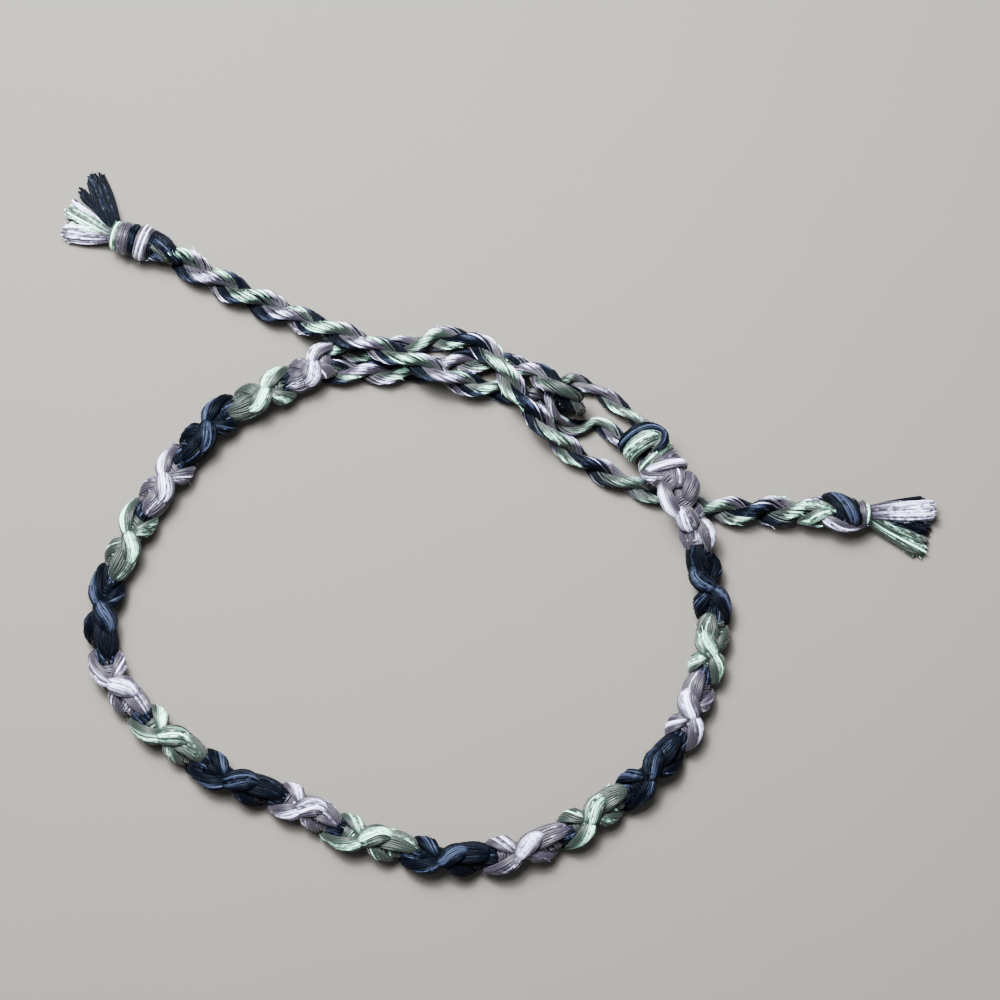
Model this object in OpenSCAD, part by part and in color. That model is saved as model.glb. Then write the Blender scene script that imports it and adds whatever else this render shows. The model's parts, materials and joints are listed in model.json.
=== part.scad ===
/* [Knotted band] */
// Radius of the band over its plain wraps
wrap_r = 1.45; // [1.3:0.05:1.5]
// Height that a long stitch stands up from the wraps
stitch_rise = 0.42; // [0.25:0.01:0.45]
// Half of the width of a long stitch
stitch_half_w = 0.8; // [0.6:0.05:0.9]
// Wraps in one colour of the band
wraps_per_colour = 3; // [2:1:4]
// Depth of the groove between two wraps
groove = 0.16; // [0.05:0.01:0.25]
// Depth of the waist where two colours meet
waist = 0.3; // [0.1:0.05:0.4]
// Gap left between two pieces that meet end to end
joint_gap = 0.1; // [0.06:0.01:0.2]

/* [Start knot] */
// Half of the width of the start knot, across the band
start_knot_half_w = 2.2; // [2:0.05:2.3]
// Half of the height of the start knot
start_knot_half_h = 1.7; // [1.5:0.05:1.75]

/* [Tails] */
// Radius of one of the two strands of a tail
strand_r = 0.56; // [0.4:0.01:0.57]
// Distance from a tail's centre line to the centre of a strand
strand_offset = 0.59; // [0.59:0.01:0.62]
// Length in which the strands of a tail make one full turn
tail_lay = 8.8; // [8:0.2:12]
// How much thicker a tail is where it lies free, outside the closure
free_swell = 1.26; // [1:0.02:1.3]

/* [Start loop] */
// Radius of one of the two plies of the start loop
ply_r = 0.42; // [0.3:0.01:0.43]
// Distance from the loop's centre line to the centre of a ply
ply_offset = 0.45; // [0.45:0.01:0.48]
// Length in which the plies of the loop make one full turn
loop_lay = 9.0; // [8:0.2:12]

/* [End knots] */
// Radius of the left end knot
left_knot_r = 2.05; // [1.8:0.05:2.1]
// Length of the left end knot
left_knot_len = 4.2; // [3.6:0.1:4.6]
// Radius of the right end knot
right_knot_r = 2.15; // [1.8:0.05:2.2]
// Length of the right end knot
right_knot_len = 4.8; // [4:0.1:5]

/* [Hidden] */
// The frame: x to the right, y away from the viewer, z up from the table that the bracelet lies on.
// A tail lies on the table at its own radius, and a second layer lies on the first.
tail_r = strand_offset + strand_r;
loop_r = ply_offset + ply_r;
clear = 0.04;
low = tail_r + clear;
free = free_swell * tail_r + clear;
mid = 2 * tail_r + clear;
high = 3 * tail_r + 2 * clear;
bar_z = 2 * tail_r + loop_r + clear;
over_bar = bar_z + loop_r + tail_r + clear;
band_z = wrap_r + stitch_rise;
band_over_tail = 2 * tail_r + band_z + clear;
start_knot_z = start_knot_half_h + 0.8;

// Centre line of the band, from its left end round the wrist to the start knot.
BAND_ROUTE = [
    [-7.4, 24.0, band_z], [-8.6, 23.7, band_z], [-10.4, 22.5, band_z], [-13.5, 20.8, band_z],
    [-17.0, 19.2, band_z], [-20.0, 16.8, band_z], [-23.0, 13.0, band_z], [-25.5, 9.5, band_z],
    [-27.7, 5.5, band_z], [-29.6, 1.0, band_z], [-30.2, -3.0, band_z], [-28.8, -8.0, band_z],
    [-25.5, -11.8, band_z], [-21.5, -15.0, band_z], [-16.5, -18.2, band_z], [-10.5, -20.2, band_z],
    [-6.0, -22.8, band_z], [-0.5, -24.5, band_z], [4.5, -25.6, band_z], [9.5, -25.2, band_z],
    [14.5, -23.8, band_z], [19.5, -20.8, band_z], [23.5, -18.0, band_z], [26.5, -15.0, band_z],
    [28.5, -11.0, band_z], [30.1, -6.0, band_z], [30.7, -2.0, band_z], [30.0, 2.5, band_z],
    [28.8, 7.0, band_z + 1.0], [27.3, 10.5, band_over_tail + 0.2], [25.6, 13.3, band_over_tail - 0.8],
    [23.6, 15.9, start_knot_z],
];

// Colours of the band: each has its end along the centre line, in mm from the left end.
COLOURS = [
    ["lilac", 4.8], ["green", 11.3], ["navy", 18.2], ["lilac", 24.6], ["green", 31.8],
    ["navy", 40.0], ["lilac", 47.0], ["green", 54.3], ["navy", 63.0], ["lilac", 69.3],
    ["green", 77.3], ["navy", 85.0], ["lilac", 93.0], ["green", 100.0], ["navy", 107.8],
    ["lilac", 114.5], ["green", 120.5], ["navy", 127.8], ["lilac", 136.5],
];

// Long stitches of one colour: start and end as a share of its length, and the angle at each,
// where 0 faces the wrist, 90 faces up and 180 faces away from the wrist.
STITCHES = [
    [0.00, 0.54, 185, 95],
    [0.42, 0.94, 40, 75],
    [0.46, 1.00, 290, 265],
];

// How much wider than tall the band grows towards the start knot: mm along it, factor.
FLARE = [[129, 1], [133, 1.28], [136.5, 1.15]];

// Centre line of the right tail: from the band's left end, over the left tail and past the loop,
// under the band to the right end knot.
RIGHT_ROUTE = [
    [-7.1, 25.2, low], [-4.5, 25.2, low], [-1.5, 25.2, low], [1.0, 25.6, low], [3.5, 26.3, low],
    [6.0, 26.1, low + 0.7], [7.8, 25.2, mid + 0.3], [9.2, 23.7, high], [10.2, 22.2, high + 0.1],
    [11.2, 20.6, high + 0.1], [12.3, 19.1, high + 0.1], [13.5, 17.7, high - 0.1], [14.9, 16.3, mid + 0.5],
    [16.4, 15.0, low + 0.5], [18.3, 13.7, low], [20.8, 12.3, low], [23.6, 11.2, low],
    [26.4, 10.3, low], [29.5, 9.3, low], [33.5, 8.9, free], [37.5, 8.9, free], [40.5, 8.8, free + 0.2],
    [43.0, 8.7, right_knot_r], [46.0, 8.6, right_knot_r],
];

// Centre line of the left tail: from the band's left end, over and round the loop's end,
// and back over its own start to the left end knot.
LEFT_ROUTE = [
    [-7.1, 22.9, low], [-4.5, 22.9, low], [-1.5, 22.9, low], [1.5, 23.1, low], [4.5, 23.8, low],
    [7.5, 23.9, low], [9.8, 23.7, low], [11.6, 23.2, low + 0.6], [13.0, 22.5, mid + 0.9],
    [14.3, 21.6, over_bar - 0.35], [15.6, 20.6, over_bar], [16.8, 19.8, high + 0.9],
    [17.2, 19.5, mid + 0.6], [16.5, 19.6, low + 0.3], [15.0, 20.0, low], [13.0, 20.5, low],
    [11.0, 20.9, low], [9.0, 21.2, low], [7.3, 21.4, low + 0.4], [5.5, 21.8, mid + 0.2],
    [3.6, 22.5, high - 0.1], [0.0, 24.0, high + 0.1], [-4.0, 25.6, high], [-7.6, 26.9, high - 0.3],
    [-10.4, 28.0, mid - 0.2], [-13.6, 29.4, free], [-17.1, 31.1, free], [-20.6, 32.9, free],
    [-23.0, 34.5, free + 0.2], [-25.0, 35.5, left_knot_r], [-29.3, 36.6, left_knot_r],
];

// Turn of the first strand at the start of each tail.
RIGHT_PHASE = 281;
LEFT_PHASE = 194;

// The stretch of the left tail that is bent round the start loop, in mm along it.
LEFT_TAIL_HOOK = [19, 29];

// How much each tail has swelled, by mm along it.
LEFT_SWELL = [[56, 1], [62, free_swell]];
RIGHT_SWELL = [[45, 1], [49, free_swell]];
NO_SWELL = [[0, 1], [1, 1]];

// Centre line of the start loop: out of the start knot, round under the left tail, and back.
LOOP_ROUTE = [
    [24.0, 16.9, 2.4], [22.7, 18.3, 1.8], [21.0, 19.8, 1.1], [19.3, 21.0, loop_r],
    [17.8, 21.7, loop_r + 0.1], [16.5, 21.9, loop_r + 0.5], [15.3, 21.6, bar_z - 0.4],
    [14.7, 20.6, bar_z + 0.1], [14.7, 19.3, bar_z], [15.1, 18.2, loop_r + 0.8],
    [16.1, 17.4, loop_r], [17.6, 17.4, loop_r], [19.0, 17.8, loop_r], [20.2, 17.2, 1.2],
    [21.2, 16.2, 1.8], [22.2, 15.3, 2.4],
];

// Locks of a tassel: the tip, then the half width and half height at the root and at the tip.
LEFT_LOCKS = [
    [[-31.2, 42.6, 0.4], 0.45, 0.45, 1.00, 0.40],
    [[-33.0, 40.9, 0.3], 0.35, 0.40, 0.40, 0.30],
    [[-34.1, 39.6, 0.6], 0.45, 0.50, 0.85, 0.45],
    [[-33.3, 38.4, 0.3], 0.35, 0.40, 0.45, 0.30],
    [[-34.2, 36.8, 0.45], 0.50, 0.50, 0.95, 0.45],
];
RIGHT_LOCKS = [
    [[52.0, 10.2, 0.7], 0.30, 0.40, 0.30, 0.30],
    [[50.0, 9.6, 0.35], 0.40, 0.45, 0.40, 0.35],
    [[52.9, 9.3, 1.0], 0.60, 0.60, 0.85, 0.60],
    [[52.5, 7.2, 0.4], 0.40, 0.45, 0.50, 0.40],
    [[52.1, 5.2, 0.45], 0.55, 0.50, 1.05, 0.45],
];
lock_sag = 0.35;
tassel_head_len = 0.9;
tassel_head_r = 1.1;
tassel_head_taper = 0.35;

// How far the ends of a knot are drawn in, and the depth of the grooves between its wraps, as shares.
start_knot_round = 0.3;
start_knot_groove = 0.06;
end_knot_round = 0.42;
end_knot_groove = 0.1;
end_knot_wraps = 3;
end_knot_tilt = 0.35;

// Share of a colour's length over which its ends narrow to the waist.
waist_share = 1 / 12;

// Sides of a round section, and the length of one step along a piece.
band_sides = 14;
band_step = 0.66;
strand_sides = 6;
strand_step = 1.02;
hook_step = 0.8;
lock_sides = 8;
lock_steps = 3;
frame_step = 0.4;
heading_reach = 0.2;
spline_steps = 8;

lilac = "#b8aec4";
green = "#a3b8a2";
navy = "#2c3648";

function unit(v) = v / norm(v);

function blend(a, b, t) = a + (b - a) * t;

function spline(p0, p1, p2, p3, u) =
    0.5 * (2 * p1 + (p2 - p0) * u + (2 * p0 - 5 * p1 + 4 * p2 - p3) * u * u
    + (3 * p1 - p0 - 3 * p2 + p3) * u * u * u);

// A smooth curve through the points of a route.
function smooth(p) =
    let (last = len(p) - 1)
    let (q = concat([2 * p[0] - p[1]], p, [2 * p[last] - p[last - 1]]))
    concat(
        [for (i = [1:last], k = [0:spline_steps - 1])
            spline(q[i - 1], q[i], q[i + 1], q[i + 2], k / spline_steps)],
        [p[last]]
    );

function run_lengths(c) =
    [for (
        i = 0, s = 0;
        i < len(c);
        s = s + (i + 1 < len(c) ? norm(c[i + 1] - c[i]) : 0), i = i + 1
    ) s];

// Tables of length along the curve against x, y and z, for lookup().
function measured(p) =
    let (c = smooth(p), s = run_lengths(c))
    [for (axis = [0:2]) [for (i = [0:len(c) - 1]) [s[i], c[i][axis]]]];

function total(line) = line[0][len(line[0]) - 1][0];

function place(line, s) = [for (axis = [0:2]) lookup(s, line[axis])];

function heading(line, s) =
    let (at = min(s, total(line)))
    unit(place(line, min(at + heading_reach, total(line))) - place(line, max(at - heading_reach, 0)));

function left_of(h) = unit(cross([0, 0, 1], h));

// The sideways direction carried along a line without twisting, as tables for lookup().
function carried(line) =
    let (n = ceil(total(line) / frame_step))
    let (h = [for (i = [0:n]) heading(line, i * frame_step)])
    let (sides = [
        for (
            i = 0, v = left_of(h[0]);
            i <= n;
            v = unit(v - h[min(i + 1, n)] * (v * h[min(i + 1, n)])), i = i + 1
        ) v
    ])
    [for (axis = [0:2]) [for (i = [0:n]) [i * frame_step, sides[i][axis]]]];

function side_at(sides, s, h) =
    let (v = [for (axis = [0:2]) lookup(s, sides[axis])])
    unit(v - h * (v * h));

// A closed solid through rings of points that all have the same number of sides.
module skin(rings) {
    sides = len(rings[0]);
    last = len(rings) - 1;
    walls = [
        for (i = [0:last - 1], j = [0:sides - 1])
            let (a = i * sides + j, b = i * sides + (j + 1) % sides)
            each [[a, a + sides, b], [b, a + sides, b + sides]]
    ];
    start_cap = [for (j = [0:sides - 1]) j];
    end_cap = [for (j = [sides - 1:-1:0]) last * sides + j];
    polyhedron([for (ring = rings) each ring], concat([start_cap], walls, [end_cap]));
}

function even_steps(from, to, step) =
    let (n = max(2, round((to - from) / step)))
    [for (i = [0:n]) blend(from, to, i / n)];

band = measured(BAND_ROUTE);
right_line = measured(RIGHT_ROUTE);
left_line = measured(LEFT_ROUTE);
loop_line = measured(LOOP_ROUTE);
right_sides = carried(right_line);
left_sides = carried(left_line);
loop_sides = carried(loop_line);

// Height of the wraps at a share of a colour's length.
function wrap_height(u) =
    wrap_r - groove * pow(1 - abs(sin(180 * wraps_per_colour * u)), 2)
    - (waist - groove) * max(0, 1 - min(u, 1 - u) / waist_share);

// Signed turn from one angle to another, from -180 to 180.
function turn(a, b) = (a - b + 540) % 360 - 180;

function stitch_height(stitch, u, angle) =
    let (t = (u - stitch[0]) / (stitch[1] - stitch[0]))
    let (along = 1 - pow(2 * t - 1, 2))
    let (off = turn(angle, blend(stitch[2], stitch[3], t)) * PI / 180 * wrap_r / stitch_half_w)
    along > 0 && abs(off) < 1 ? stitch_rise * sqrt(along) * sqrt(1 - off * off) : 0;

function band_height(u, angle) =
    wrap_height(u) + max([for (stitch = STITCHES) stitch_height(stitch, u, angle)]);

// One ring of the band: its radius is a function of the angle.
function band_ring(s, widen, radii) =
    let (h = heading(band, s), side = left_of(h), up = cross(h, side), n = len(radii))
    [for (j = [0:n - 1])
        place(band, s) + radii[j] * (widen * cos(360 * j / n) * side + sin(360 * j / n) * up)];

// The knots of one colour.
module knots(i) {
    from = i == 0 ? 0 : COLOURS[i - 1][1];
    to = COLOURS[i][1];
    skin([
        for (s = even_steps(from + joint_gap / 2, to - joint_gap / 2, band_step))
            band_ring(
                s,
                lookup(s, FLARE),
                [for (j = [0:band_sides - 1]) band_height((s - from) / (to - from), 360 * j / band_sides)]
            )
    ]);
}

module lilac_knots(i) color(lilac) knots(i);
module green_knots(i) color(green) knots(i);
module navy_knots(i) color(navy) knots(i);

// Two wraps round the band's right end, out of which the start loop comes.
module start_knot() {
    from = COLOURS[len(COLOURS) - 1][1] + joint_gap / 2;
    to = total(band);
    color(green)
        skin([
            for (s = even_steps(from, to, band_step))
                let (u = (s - from) / (to - from))
                let (body = 1 - start_knot_round * pow(abs(2 * u - 1), 3))
                let (r = start_knot_half_h * body * (1 - start_knot_groove * pow(cos(180 * u), 2)))
                band_ring(s, start_knot_half_w / start_knot_half_h, [for (j = [0:band_sides - 1]) r])
        ]);
}

// One strand of a laid cord.
module strand(line, sides, stations, lay, phase, offset, r, swell) {
    skin([
        for (s = stations)
            let (h = heading(line, s), side = side_at(sides, s, h), up = cross(h, side))
            let (a = phase - 360 * s / lay)
            let (grown = lookup(s, swell))
            let (centre = place(line, s) + grown * offset * (cos(a) * side + sin(a) * up))
            [for (k = [0:strand_sides - 1])
                let (b = a + 360 * k / strand_sides)
                centre + grown * r * (cos(b) * side + sin(b) * up)]
    ]);
}

module right_tail_strand(k) {
    strand(right_line, right_sides, even_steps(0, total(right_line) - right_knot_len, strand_step),
        tail_lay, RIGHT_PHASE + 180 * (k - 1), strand_offset, strand_r, RIGHT_SWELL);
}

module left_tail_strand(k) {
    to = total(left_line) - left_knot_len;
    before = even_steps(0, LEFT_TAIL_HOOK[0], strand_step);
    hook = even_steps(LEFT_TAIL_HOOK[0] + hook_step, LEFT_TAIL_HOOK[1], hook_step);
    after = even_steps(LEFT_TAIL_HOOK[1] + strand_step, to, strand_step);
    strand(left_line, left_sides, concat(before, hook, after),
        tail_lay, LEFT_PHASE + 180 * (k - 1), strand_offset, strand_r, LEFT_SWELL);
}

module start_loop_ply(k) {
    strand(loop_line, loop_sides, even_steps(0, total(loop_line), hook_step),
        loop_lay, 180 * k, ply_offset, ply_r, NO_SWELL);
}

// An overhand knot as a barrel of three tilted wraps, at the end of a tail.
module end_knot(line, r, length) {
    from = total(line) - length + joint_gap;
    to = total(line) - joint_gap;
    skin([
        for (s = even_steps(from, to, length / 8))
            let (h = heading(line, s), side = left_of(h), up = cross(h, side), u = (s - from) / (to - from))
            [for (j = [0:band_sides - 1])
                let (a = 360 * j / band_sides)
                let (turns = end_knot_wraps * u + end_knot_tilt * cos(a))
                let (wrap = end_knot_groove * pow(cos(180 * turns), 2))
                let (radius = r * (1 - end_knot_round * pow(abs(2 * u - 1), 3)) * (1 - wrap))
                place(line, s) + radius * (cos(a) * side + sin(a) * up)]
    ]);
}

// One lock of cut threads, from the knot to its tip.
module lock(root, lock_row) {
    tip = lock_row[0];
    h = unit(tip - root);
    side = left_of(h);
    up = cross(h, side);
    skin([
        for (i = [0:lock_steps])
            let (t = i / lock_steps)
            let (centre = blend(root, tip, t) - [0, 0, lock_sag * sin(180 * t)])
            let (half_w = blend(lock_row[1], lock_row[3], t))
            let (half_h = blend(lock_row[2], lock_row[4], t))
            [for (k = [0:lock_sides - 1])
                let (a = 360 * k / lock_sides)
                let (p = centre + half_w * cos(a) * side + half_h * sin(a) * up)
                [p[0], p[1], max(p[2], 0)]]
    ]);
}

// Cut threads beyond an end knot, fused to the stub that comes out of it.
module tassel(line, locks) {
    end = total(line);
    h = heading(line, end);
    side = left_of(h);
    up = cross(h, side);
    skin([
        for (t = [0, 0.5, 1])
            [for (k = [0:lock_sides - 1])
                let (a = 360 * k / lock_sides, r = tassel_head_r * (1 - tassel_head_taper * t))
                place(line, end) + h * (tassel_head_len * t) + r * (cos(a) * side + sin(a) * up)]
    ]);
    for (lock_row = locks)
        lock(place(line, end) + h * tassel_head_len / 2, lock_row);
}

module left_end_knot() color(lilac) end_knot(left_line, left_knot_r, left_knot_len);
module right_end_knot() color(navy) end_knot(right_line, right_knot_r, right_knot_len);
module left_tassel() color(green) tassel(left_line, LEFT_LOCKS);
module right_tassel() color(lilac) tassel(right_line, RIGHT_LOCKS);

// Colour 0 is lilac_knots_1, colour 1 green_knots_1, colour 2 navy_knots_1, colour 3 lilac_knots_2.
function knots_name(i) = str(COLOURS[i][0], "_knots_", floor(i / 3) + 1);

for (i = [0:len(COLOURS) - 1]) {
    union() {
        if (COLOURS[i][0] == "lilac") lilac_knots(i);
        if (COLOURS[i][0] == "green") green_knots(i);
        if (COLOURS[i][0] == "navy") navy_knots(i);
    }
}
start_knot();
color(green) start_loop_ply(1);  // start_loop_ply_1
color(navy) start_loop_ply(2);  // start_loop_ply_2
color(navy) right_tail_strand(1);  // right_tail_strand_1
color(lilac) right_tail_strand(2);  // right_tail_strand_2
color(green) left_tail_strand(1);  // left_tail_strand_1
color(lilac) left_tail_strand(2);  // left_tail_strand_2
left_end_knot();
right_end_knot();
left_tassel();
right_tassel();
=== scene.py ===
import json
import math
import random
from bisect import bisect_right
from typing import NamedTuple

import bpy
from bpy.props import FloatProperty, FloatVectorProperty, IntProperty, PointerProperty
from bpy.types import Operator, Panel, PropertyGroup
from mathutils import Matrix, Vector


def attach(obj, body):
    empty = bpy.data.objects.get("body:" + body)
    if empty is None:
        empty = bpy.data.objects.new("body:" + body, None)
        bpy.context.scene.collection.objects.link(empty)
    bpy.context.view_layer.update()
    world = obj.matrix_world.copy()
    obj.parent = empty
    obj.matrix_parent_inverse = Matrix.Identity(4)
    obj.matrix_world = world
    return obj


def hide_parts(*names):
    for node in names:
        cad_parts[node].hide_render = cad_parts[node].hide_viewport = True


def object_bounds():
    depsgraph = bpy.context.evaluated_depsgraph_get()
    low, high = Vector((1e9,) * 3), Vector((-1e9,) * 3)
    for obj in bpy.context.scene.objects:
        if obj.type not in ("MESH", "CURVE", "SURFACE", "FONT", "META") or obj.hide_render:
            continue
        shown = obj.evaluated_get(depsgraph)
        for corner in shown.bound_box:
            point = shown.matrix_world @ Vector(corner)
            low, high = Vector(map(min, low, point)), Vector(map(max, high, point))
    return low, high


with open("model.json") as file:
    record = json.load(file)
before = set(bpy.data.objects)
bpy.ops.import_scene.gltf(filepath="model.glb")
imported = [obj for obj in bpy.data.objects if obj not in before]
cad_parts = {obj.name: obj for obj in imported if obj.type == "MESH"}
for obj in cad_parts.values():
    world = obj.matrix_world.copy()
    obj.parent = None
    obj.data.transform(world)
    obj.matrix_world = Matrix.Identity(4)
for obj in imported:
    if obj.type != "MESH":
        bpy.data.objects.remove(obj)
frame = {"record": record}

bl_info = {
    "name": "Knotted floss bracelet",
    "version": (1, 0, 0),
    "blender": (4, 5, 0),
    "location": "View3D > Sidebar > Bracelet",
    "description": "Lays the threads of a knotted floss bracelet over its solid frame",
    "category": "Add Mesh",
}

CAD_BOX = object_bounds()
MM = 0.001
UP = Vector((0, 0, 1))
DYES = ("lilac", "green", "navy")

# A table of (mm, factor) that is 1 everywhere.
LEVEL = ((0, 1.0), (1, 1.0))

# Sizes in millimetres, as in the frame. For a tail's strands and the loop's plies: radius, how far
# out they lie, and the length of one turn; then how much a tail swells where it runs free.
STRAND_R, STRAND_OFFSET, TAIL_LAY, FREE_SWELL = 0.56, 0.59, 8.8, 1.26
PLY_R, PLY_OFFSET, LOOP_LAY = 0.42, 0.45, 9.0
WRAP_R, STITCH_RISE = 1.45, 0.42
START_KNOT_HALF_W, START_KNOT_HALF_H = 2.2, 1.7
LEFT_KNOT_R, LEFT_KNOT_LEN = 2.05, 4.2
RIGHT_KNOT_R, RIGHT_KNOT_LEN = 2.15, 4.8
CLEAR = 0.04
TAIL_R = STRAND_OFFSET + STRAND_R
LOOP_R = PLY_OFFSET + PLY_R

# Heights of centre lines: a tail on the floor, the same where it is swollen, a tail half-way up and
# right over another tail, the loop over a tail, a tail over that, the band, the band over a tail,
# and the start knot.
LOW = TAIL_R + CLEAR
FREE = FREE_SWELL * TAIL_R + CLEAR
MID = 2 * TAIL_R + CLEAR
HIGH = 3 * TAIL_R + 2 * CLEAR
BAR = 2 * TAIL_R + LOOP_R + CLEAR
OVER_BAR = BAR + LOOP_R + TAIL_R + CLEAR
BAND = WRAP_R + STITCH_RISE
BAND_OVER = 2 * TAIL_R + BAND + CLEAR
START_KNOT = START_KNOT_HALF_H + 0.8

# Centre line of the band, from its left end round the wrist to the start knot.
BAND_ROUTE = (
    (-7.4, 24.0, BAND), (-8.6, 23.7, BAND), (-10.4, 22.5, BAND), (-13.5, 20.8, BAND),
    (-17.0, 19.2, BAND), (-20.0, 16.8, BAND), (-23.0, 13.0, BAND), (-25.5, 9.5, BAND),
    (-27.7, 5.5, BAND), (-29.6, 1.0, BAND), (-30.2, -3.0, BAND), (-28.8, -8.0, BAND),
    (-25.5, -11.8, BAND), (-21.5, -15.0, BAND), (-16.5, -18.2, BAND), (-10.5, -20.2, BAND),
    (-6.0, -22.8, BAND), (-0.5, -24.5, BAND), (4.5, -25.6, BAND), (9.5, -25.2, BAND),
    (14.5, -23.8, BAND), (19.5, -20.8, BAND), (23.5, -18.0, BAND), (26.5, -15.0, BAND),
    (28.5, -11.0, BAND), (30.1, -6.0, BAND), (30.7, -2.0, BAND), (30.0, 2.5, BAND),
    (28.8, 7.0, BAND + 1.0), (27.3, 10.5, BAND_OVER + 0.2), (25.6, 13.3, BAND_OVER - 0.8),
    (23.6, 15.9, START_KNOT),
)

# Colours of the band: each has its end along the centre line, in mm from the left end.
COLOURS = (
    ("lilac", 4.8), ("green", 11.3), ("navy", 18.2), ("lilac", 24.6), ("green", 31.8),
    ("navy", 40.0), ("lilac", 47.0), ("green", 54.3), ("navy", 63.0), ("lilac", 69.3),
    ("green", 77.3), ("navy", 85.0), ("lilac", 93.0), ("green", 100.0), ("navy", 107.8),
    ("lilac", 114.5), ("green", 120.5), ("navy", 127.8), ("lilac", 136.5),
)

# How much wider than tall the band grows towards the start knot: mm along it, factor.
FLARE = ((129, 1.0), (133, 1.28), (136.5, 1.15))

# Centre line of each tail, from the band's left end to the far side of its knot, and of the start
# loop, from the start knot out and back.
RIGHT_ROUTE = (
    (-7.1, 25.2, LOW), (-4.5, 25.2, LOW), (-1.5, 25.2, LOW), (1.0, 25.6, LOW), (3.5, 26.3, LOW),
    (6.0, 26.1, LOW + 0.7), (7.8, 25.2, MID + 0.3), (9.2, 23.7, HIGH), (10.2, 22.2, HIGH + 0.1),
    (11.2, 20.6, HIGH + 0.1), (12.3, 19.1, HIGH + 0.1), (13.5, 17.7, HIGH - 0.1),
    (14.9, 16.3, MID + 0.5), (16.4, 15.0, LOW + 0.5), (18.3, 13.7, LOW), (20.8, 12.3, LOW),
    (23.6, 11.2, LOW), (26.4, 10.3, LOW), (29.5, 9.3, LOW), (33.5, 8.9, FREE), (37.5, 8.9, FREE),
    (40.5, 8.8, FREE + 0.2), (43.0, 8.7, RIGHT_KNOT_R), (46.0, 8.6, RIGHT_KNOT_R),
)
LEFT_ROUTE = (
    (-7.1, 22.9, LOW), (-4.5, 22.9, LOW), (-1.5, 22.9, LOW), (1.5, 23.1, LOW), (4.5, 23.8, LOW),
    (7.5, 23.9, LOW), (9.8, 23.7, LOW), (11.6, 23.2, LOW + 0.6), (13.0, 22.5, MID + 0.9),
    (14.3, 21.6, OVER_BAR - 0.35), (15.6, 20.6, OVER_BAR), (16.8, 19.8, HIGH + 0.9),
    (17.2, 19.5, MID + 0.6), (16.5, 19.6, LOW + 0.3), (15.0, 20.0, LOW), (13.0, 20.5, LOW),
    (11.0, 20.9, LOW), (9.0, 21.2, LOW), (7.3, 21.4, LOW + 0.4), (5.5, 21.8, MID + 0.2),
    (3.6, 22.5, HIGH - 0.1), (0.0, 24.0, HIGH + 0.1), (-4.0, 25.6, HIGH), (-7.6, 26.9, HIGH - 0.3),
    (-10.4, 28.0, MID - 0.2), (-13.6, 29.4, FREE), (-17.1, 31.1, FREE), (-20.6, 32.9, FREE),
    (-23.0, 34.5, FREE + 0.2), (-25.0, 35.5, LEFT_KNOT_R), (-29.3, 36.6, LEFT_KNOT_R),
)
LOOP_ROUTE = (
    (24.0, 16.9, 2.4), (22.7, 18.3, 1.8), (21.0, 19.8, 1.1), (19.3, 21.0, LOOP_R),
    (17.8, 21.7, LOOP_R + 0.1), (16.5, 21.9, LOOP_R + 0.5), (15.3, 21.6, BAR - 0.4),
    (14.7, 20.6, BAR + 0.1), (14.7, 19.3, BAR), (15.1, 18.2, LOOP_R + 0.8),
    (16.1, 17.4, LOOP_R), (17.6, 17.4, LOOP_R), (19.0, 17.8, LOOP_R), (20.2, 17.2, 1.2),
    (21.2, 16.2, 1.8), (22.2, 15.3, 2.4),
)

# How much each tail has swelled, by mm along it.
LEFT_SWELL = ((56, 1.0), (62, FREE_SWELL))
RIGHT_SWELL = ((45, 1.0), (49, FREE_SWELL))

# Turn of the first strand at the start of each tail, in degrees.
LEFT_PHASE, RIGHT_PHASE = 194, 281

# Painted shade on a stretch of each tail, which darkens all its threads there: mm along it, factor.
LEFT_SHADE = ((23.0, 1.0), (25.0, 0.2), (33.0, 0.25), (36.0, 1.0))
RIGHT_SHADE = ((31.0, 1.0), (35.0, 0.72), (44.0, 0.72), (47.0, 1.0))
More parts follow.
